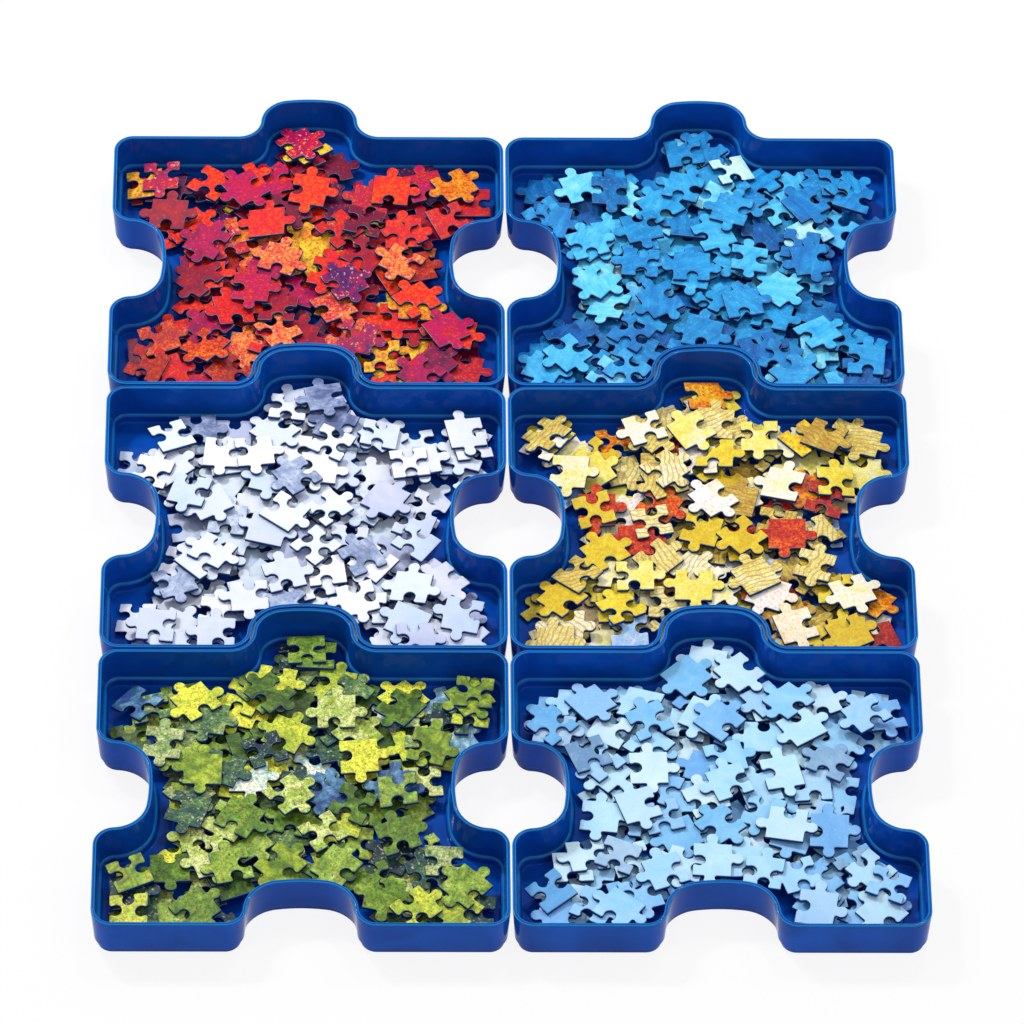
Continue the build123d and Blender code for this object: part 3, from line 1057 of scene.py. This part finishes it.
    def build(
        self, source: bpy.types.Object, material: bpy.types.Material, random: np.random.Generator
    ) -> bpy.types.Object:
        """Make the group's cards, each one a stack of rings with a closed top and bottom.

        Args:
            source: The node's object in the model.
            material: The group's print and cut edge.
            random: Gives each card its own picture and shade.

        Returns:
            The cards, as one object.
        """
        outline, loops = self.faces_up(source)
        points, faces, places, tints, heights = [], [], [], [], []
        base = 0
        for number in range(loops.max() + 1):
            loop = self.evened(outline[loops == number])
            count = len(loop)
            normal, ahead = self.lie(loop)
            card = self.stack(loop, normal, ahead)
            along = ahead[int(random.integers(count))]
            points.append(card)
            places.append(self.printed_place(card - loop.mean(axis=0), along, normal, random))
            tints.append(np.full(len(card), random.uniform()))
            heights.append(np.repeat(CARD_RINGS[:, 1] / self.card, count))
            bottom = np.arange(count)[::-1]
            top = np.arange(count) + (len(CARD_RINGS) - 1) * count
            faces += [*(band_faces(len(CARD_RINGS), count) + base), bottom + base, top + base]
            base += len(card)
        piece = mesh_object(self.node + "_cards", np.concatenate(points), faces)
        put_attribute(piece, "card_place", "FLOAT_VECTOR", np.concatenate(places))
        put_attribute(piece, "card_tint", "FLOAT", np.concatenate(tints))
        put_attribute(piece, "card_height", "FLOAT", np.concatenate(heights))
        piece.data.materials.append(material)
        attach(piece, self.body)
        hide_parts(self.node)
        return piece


# Studio


@dataclass(frozen=True)
class PhotoCamera:
    """The camera: where it stands, how it is turned, and its long lens."""

    place: tuple[float, float, float] = (-0.0624, -2.6850, 3.1639)
    yaw: float = math.radians(1.381)
    pitch: float = math.radians(49.565)
    roll: float = math.radians(1.214)
    focal_pixels: float = 8330.5
    picture_width: int = 1024
    sensor: float = 36.0
    farthest: float = 50.0

    def rotation(self) -> Matrix:
        """The camera's turn, from its right, its up and the opposite of the way it looks.

        It looks along +Y, turned by the yaw towards +X and down by the pitch, and is then rolled
        about its line of sight.
        """
        level = math.cos(self.pitch)
        cosine, sine = math.cos(self.yaw), math.sin(self.yaw)
        ahead = Vector((sine * level, cosine * level, -math.sin(self.pitch)))
        right = Vector((cosine, -sine, 0.0))
        up = right.cross(ahead)
        rolled_right = math.cos(self.roll) * right + math.sin(self.roll) * up
        rolled_up = -math.sin(self.roll) * right + math.cos(self.roll) * up
        return Matrix((rolled_right, rolled_up, -ahead)).transposed().to_4x4()

    def build(self) -> bpy.types.Object:
        """Make the camera and make it the scene's own."""
        data = bpy.data.cameras.new("photo_camera")
        data.sensor_width = self.sensor
        data.lens = self.focal_pixels / self.picture_width * self.sensor
        data.clip_end = self.farthest
        camera = bpy.data.objects.new("photo_camera", data)
        camera.matrix_world = Matrix.Translation(self.place) @ self.rotation()
        bpy.context.scene.collection.objects.link(camera)
        bpy.context.scene.camera = camera
        return camera


@dataclass(frozen=True)
class Softbox:
    """One lamp: a square panel of light that looks at the middle of the trays."""

    name: str
    place: tuple[float, float, float]
    size: float
    watts: float

    def build(self) -> bpy.types.Object:
        """Make the lamp."""
        data = bpy.data.lights.new(self.name, "AREA")
        data.shape = "SQUARE"
        data.size = self.size
        data.energy = self.watts
        lamp = bpy.data.objects.new(self.name, data)
        lamp.location = self.place
        lamp.rotation_mode = "QUATERNION"
        lamp.rotation_quaternion = (-Vector(self.place)).to_track_quat("-Z", "Y")
        bpy.context.scene.collection.objects.link(lamp)
        return lamp


@dataclass(frozen=True)
class Studio:
    """White table, white surroundings and lamps.

    White share is how much of its own shade the table loses where it is seen, and surroundings is
    how strongly the world lights the trays.
    """

    table_half: float = 6.0
    table_top: float = -0.05 * MM
    table_paint: Colour = (0.92, 0.92, 0.92)
    surroundings: float = 0.44
    white_share: float = 0.88
    lamps: tuple[Softbox, ...] = (
        Softbox("key_softbox", (-0.95, 0.95, 1.75), 0.25, 22.0),
        Softbox("rim_softbox", (0.45, 1.10, 2.30), 0.16, 10.0),
        Softbox("fill_softbox", (1.2, -1.0, 1.6), 1.2, 5.0),
        Softbox("left_glint", (-1.6, 0.9, 1.9), 0.08, 6.0),
        Softbox("right_glint", (1.3, 1.3, 2.0), 0.08, 5.0),
    )

    @staticmethod
    def seen(board: NodeBoard) -> bpy.types.NodeSocket:
        """1 for rays that lead straight, mirrored or through glass to the camera, and else 0."""
        rays = board.add("LightPath").outputs
        mirrored = board.maths("MAXIMUM", rays["Is Camera Ray"], rays["Is Glossy Ray"])
        return board.maths("MAXIMUM", mirrored, rays["Is Transmission Ray"])

    def table(self) -> bpy.types.Object:
        """Make the white table, which is shown white and still takes the trays' soft shadow."""
        corners = np.array([(-1, -1), (1, -1), (1, 1), (-1, 1)]) * self.table_half
        points = np.column_stack([corners, np.full(len(corners), self.table_top)])
        floor = mesh_object("white_table", points, [range(len(points))], smooth=False)
        material = bpy.data.materials.new("white_table")
        material.use_nodes = True
        board = NodeBoard(material.node_tree)
        material.node_tree.nodes.clear()
        share = board.maths("MULTIPLY", self.seen(board), self.white_share)
        matt = board.add("BsdfDiffuse", {"Color": self.table_paint})
        white = board.add("Emission", {"Color": WHITE, "Strength": 1.0})
        mixed = board.add("MixShader", {0: share, 1: matt.outputs[0], 2: white.outputs[0]})
        output = board.add("OutputMaterial")
        board.put(output.inputs[0], mixed.outputs[0])
        floor.data.materials.append(material)
        return floor

    def world(self) -> None:
        """Light everything evenly from all round, and show the surroundings as white."""
        world = bpy.data.worlds.new("white_surroundings")
        bpy.context.scene.world = world
        world.use_nodes = True
        board = NodeBoard(world.node_tree)
        background = world.node_tree.nodes["Background"]
        board.put(background.inputs["Color"], WHITE)
        strength = board.remap(self.seen(board), 0.0, 1.0, self.surroundings, 1.0)
        board.put(background.inputs["Strength"], strength)

    def build(self) -> None:
        """Make the table, the surroundings and the lamps."""
        self.table()
        self.world()
        for lamp in self.lamps:
            lamp.build()


def main() -> None:
    """Dress every node of the model, and set up the camera and the studio."""
    logging.basicConfig(level=logging.INFO, format="%(message)s")
    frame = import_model()
    bpy.context.scene.view_settings.view_transform = "Standard"
    PhotoCamera().build()
    Studio().build()
    effects = SharedEffects()
    plastic = TrayPlastic().material(effects)
    prints = {slot: card.material(slot, effects) for slot, card in CARD_PRINTS.items()}
    slots = {part["node"]: part["material_slot"] for part in frame["record"]["subparts"]}
    random = np.random.default_rng(SEED)
    for body, nodes in frame["record"]["behaviour"]["bodies"].items():
        for node in nodes:
            if slots[node] == "blue_tray":
                piece = SortingTray(body, node).build(plastic)
            else:
                group = LoosePieces(body, node, slots[node])
                piece = group.build(frame["nodes"][node], prints[slots[node]], random)
            LOG.info("%s: %d faces", piece.name, len(piece.data.polygons))


if __name__ == "__main__":
    main()
